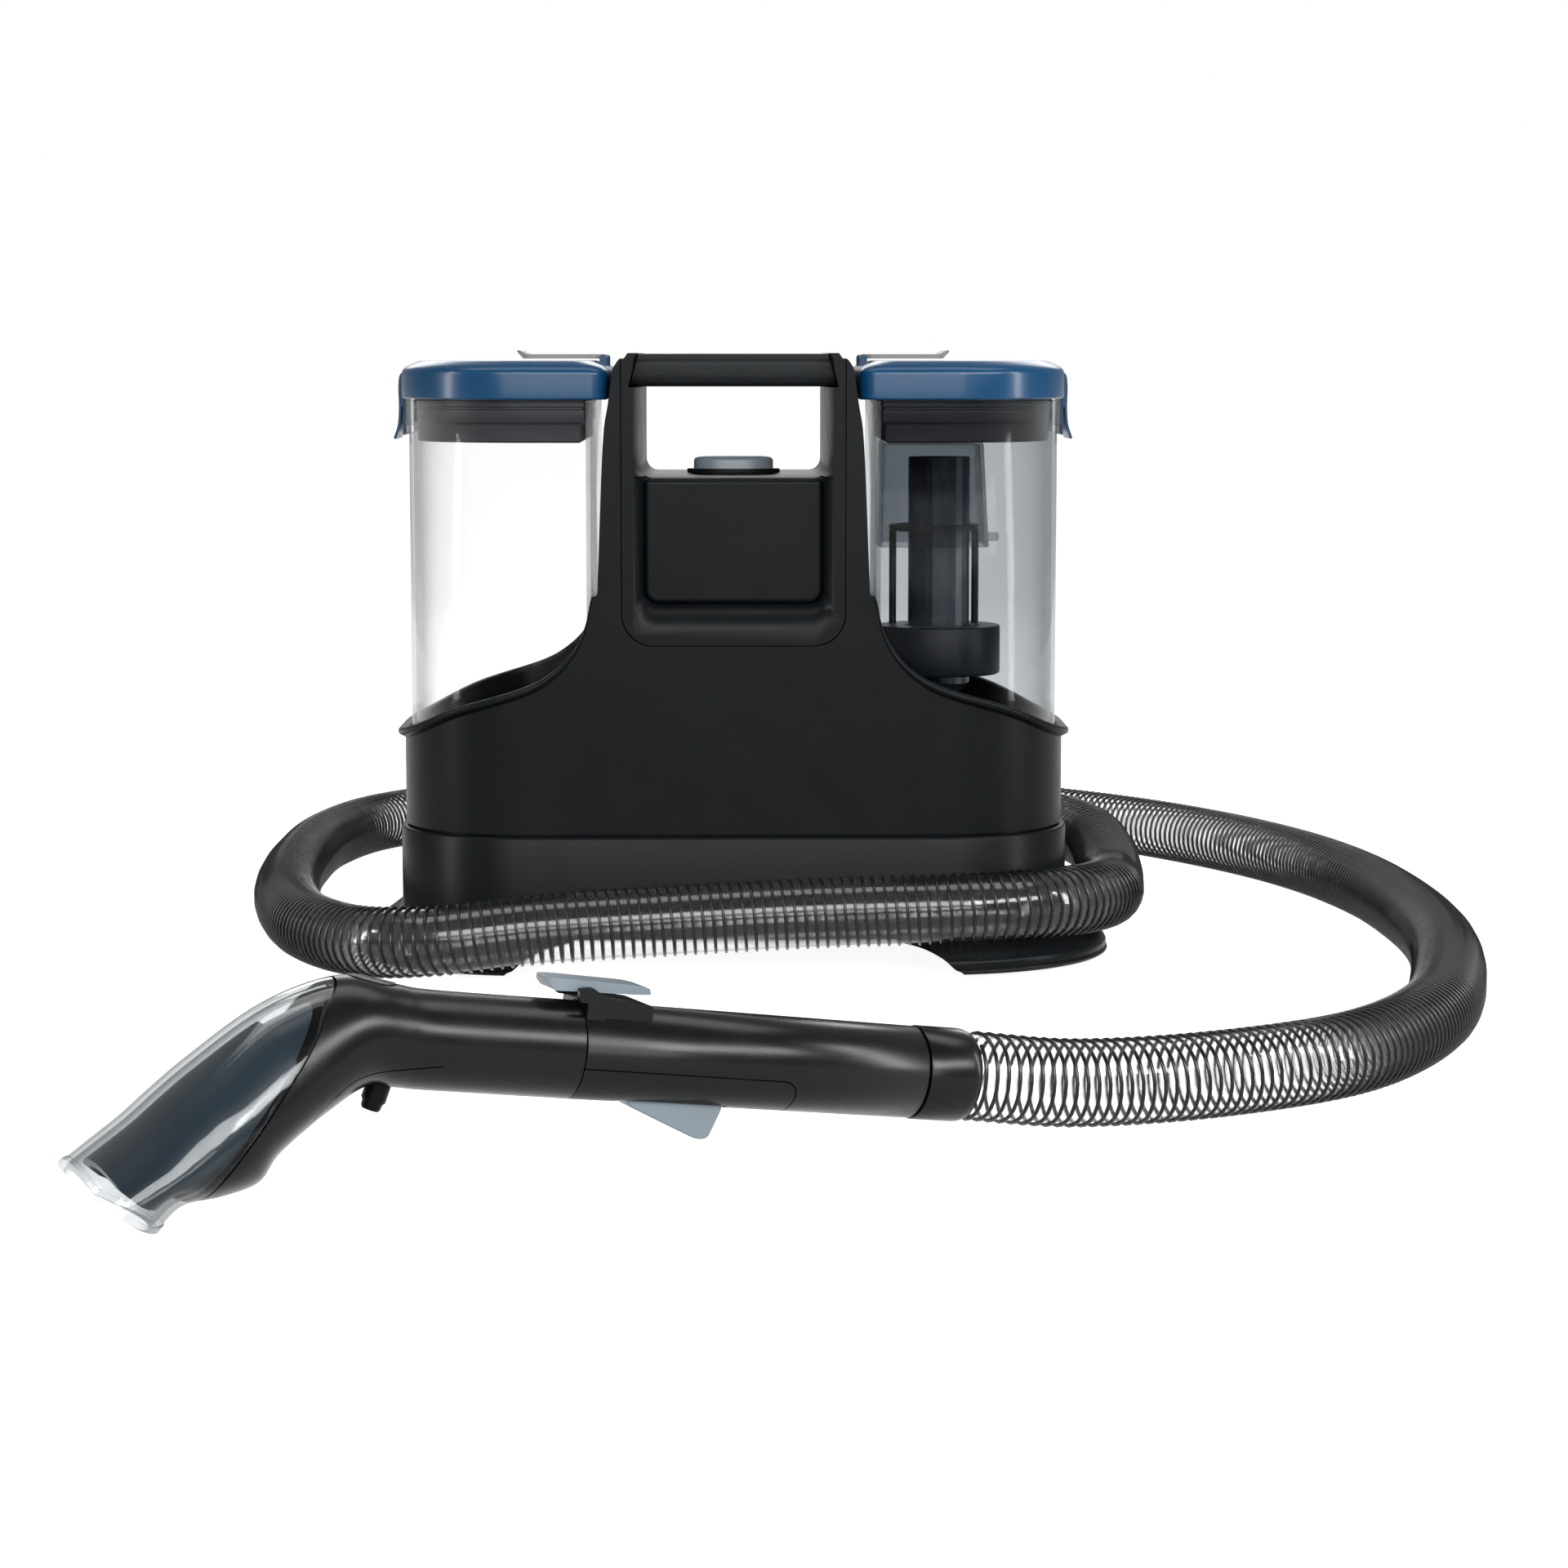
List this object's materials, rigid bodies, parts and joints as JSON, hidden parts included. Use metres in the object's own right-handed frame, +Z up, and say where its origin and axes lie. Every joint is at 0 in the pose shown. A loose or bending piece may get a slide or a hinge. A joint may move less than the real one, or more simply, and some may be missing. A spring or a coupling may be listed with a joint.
{
  "type": "spot extractor",
  "caption": "Portable spot extractor: clear clean-water tank, smoked dirty-water tank, carry handle, ribbed suction hose and a spray tool with trigger.",
  "frame": {"origin": "centre of the machine's footprint on the floor, hose and tool left out", "axes": "+Z up, front faces -Y, clean tank towards -X, dirty tank towards +X"},
  "size_m": [0.6791, 1.2787, 0.3306],
  "materials": {
    "black_plastic": "satin",
    "grip_plastic": "satin",
    "blue_plastic": "gloss",
    "slate_plastic": "satin",
    "grey_plastic": "satin",
    "clear_plastic": "polished clear",
    "smoke_plastic": "polished clear",
    "window_plastic": "polished clear",
    "hose_plastic": "gloss",
    "black_rubber": "matte",
    "motor_steel": "satin",
    "circuit_board": "satin"
  },
  "bodies": {
    "housing": {"main_housing": "black_plastic", "lower_housing": "black_plastic", "handle_frame": "black_plastic", "handle_grip": "grip_plastic", "pocket_panel_front": "black_plastic", "pocket_panel_back": "black_plastic", "foot_left": "black_plastic", "foot_right": "black_plastic", "foot_left_pad_front": "black_rubber", "foot_left_pad_back": "black_rubber", "foot_right_pad_front": "black_rubber", "foot_right_pad_back": "black_rubber", "button_bezel": "black_plastic", "switch_body": "black_plastic", "control_board": "circuit_board", "motor_can": "motor_steel", "fan_housing": "black_plastic", "fan_base_ring": "black_rubber", "water_pump": "black_plastic", "feed_tube": "black_rubber", "spray_tube": "clear_plastic", "inlet_duct": "black_plastic", "air_duct": "black_plastic", "clean_dock_seal": "black_rubber", "dirty_dock_seal": "black_rubber", "exhaust_grille": "black_plastic", "mains_inlet": "black_plastic", "hose_port": "black_plastic", "suction_hose": "hose_plastic", "hose_cuff": "black_plastic", "wand_shell_upper": "black_plastic", "wand_shell_lower": "black_plastic", "trigger_valve": "motor_steel"},
    "power_button": {"power_button": "slate_plastic"},
    "impeller": {"impeller": "motor_steel"},
    "clean_tank": {"clean_tank": "clear_plastic"},
    "clean_valve": {"clean_valve": "black_plastic"},
    "clean_lid": {"clean_lid": "blue_plastic", "clean_lid_seal": "black_rubber"},
    "clean_flap": {"clean_flap": "grey_plastic"},
    "clean_latch": {"clean_latch": "blue_plastic"},
    "dirty_tank": {"dirty_tank": "smoke_plastic", "standpipe": "smoke_plastic"},
    "dirty_lid": {"dirty_lid": "blue_plastic", "dirty_lid_seal": "black_rubber", "separator_hood": "smoke_plastic"},
    "float": {"float_ring": "black_plastic", "float_rod_left": "black_plastic", "float_rod_right": "black_plastic", "float_yoke": "black_plastic"},
    "dirty_flap": {"dirty_flap": "grey_plastic"},
    "dirty_latch": {"dirty_latch": "blue_plastic"},
    "trigger": {"trigger": "slate_plastic"},
    "latch_lever": {"latch_lever": "slate_plastic"},
    "tool": {"tool_shell_upper": "black_plastic", "tool_shell_lower": "black_plastic", "spray_nozzle": "black_plastic"},
    "nozzle_window": {"nozzle_window": "window_plastic", "tool_channel": "black_plastic"},
    "window_catch": {"window_catch": "black_plastic"}
  },
  "joints": [
    {"name": "power_button_press", "type": "slide", "parent": "housing", "child": "power_button", "axis": [0, 0, -1], "range_m": [0, 0.003], "stiffness_N_per_m": 300, "springref_m": -0.003},
    {"name": "impeller_spin", "type": "hinge", "parent": "housing", "child": "impeller", "pos_m": [0, 0, 0.072], "axis": [0, 0, 1], "continuous": true},
    {"name": "clean_tank_lift", "type": "slide", "parent": "housing", "child": "clean_tank", "axis": [0, 0, 1], "range_m": [0, 0.22]},
    {"name": "clean_valve_open", "type": "slide", "parent": "clean_tank", "child": "clean_valve", "axis": [0, 0, 1], "range_m": [0, 0.003], "stiffness_N_per_m": 150, "springref_m": -0.004},
    {"name": "clean_lid_lift", "type": "slide", "parent": "clean_tank", "child": "clean_lid", "axis": [0, 0, 1], "range_m": [0, 0.05]},
    {"name": "clean_flap_open", "type": "hinge", "parent": "clean_lid", "child": "clean_flap", "pos_m": [-0.0705, 0, 0.3275], "axis": [0, 1, 0], "range_deg": [0, 70]},
    {"name": "clean_latch_swing", "type": "hinge", "parent": "clean_lid", "child": "clean_latch", "pos_m": [-0.1836, 0, 0.3175], "axis": [0, 1, 0], "range_deg": [0, 60]},
    {"name": "dirty_tank_lift", "type": "slide", "parent": "housing", "child": "dirty_tank", "axis": [0, 0, 1], "range_m": [0, 0.22]},
    {"name": "dirty_lid_lift", "type": "slide", "parent": "dirty_tank", "child": "dirty_lid", "axis": [0, 0, 1], "range_m": [0, 0.16]},
    {"name": "float_rise", "type": "slide", "parent": "dirty_lid", "child": "float", "axis": [0, 0, 1], "range_m": [0, 0.015]},
    {"name": "dirty_flap_open", "type": "hinge", "parent": "dirty_lid", "child": "dirty_flap", "pos_m": [0.0705, 0, 0.3275], "axis": [0, -1, 0], "range_deg": [0, 70]},
    {"name": "dirty_latch_swing", "type": "hinge", "parent": "dirty_lid", "child": "dirty_latch", "pos_m": [0.1836, 0, 0.3175], "axis": [0, -1, 0], "range_deg": [0, 60]},
    {"name": "trigger_pull", "type": "hinge", "parent": "housing", "child": "trigger", "pos_m": [-0.04422, -0.60172, 0.03407], "axis": [0.4067, -0.9135, 0], "range_deg": [0, 12], "stiffness_Nm_per_rad": 0.25, "springref_deg": -17.19},
    {"name": "latch_lever_press", "type": "hinge", "parent": "housing", "child": "latch_lever", "pos_m": [-0.06259, -0.6099, 0.07878], "axis": [-0.4067, 0.9135, 0], "range_deg": [0, 6], "stiffness_Nm_per_rad": 0.25, "springref_deg": -11.46},
    {"name": "tool_release", "type": "slide", "parent": "housing", "child": "tool", "axis": [-0.9048, -0.4028, 0.1383], "range_m": [0, 0.06]},
    {"name": "nozzle_window_off", "type": "slide", "parent": "tool", "child": "nozzle_window", "axis": [-0.7204, -0.3207, 0.615], "range_m": [0, 0.03]},
    {"name": "window_catch_press", "type": "slide", "parent": "tool", "child": "window_catch", "axis": [-0.1264, -0.0563, -0.9904], "range_m": [0, 0.0015], "stiffness_N_per_m": 300, "springref_m": -0.002}
  ]
}
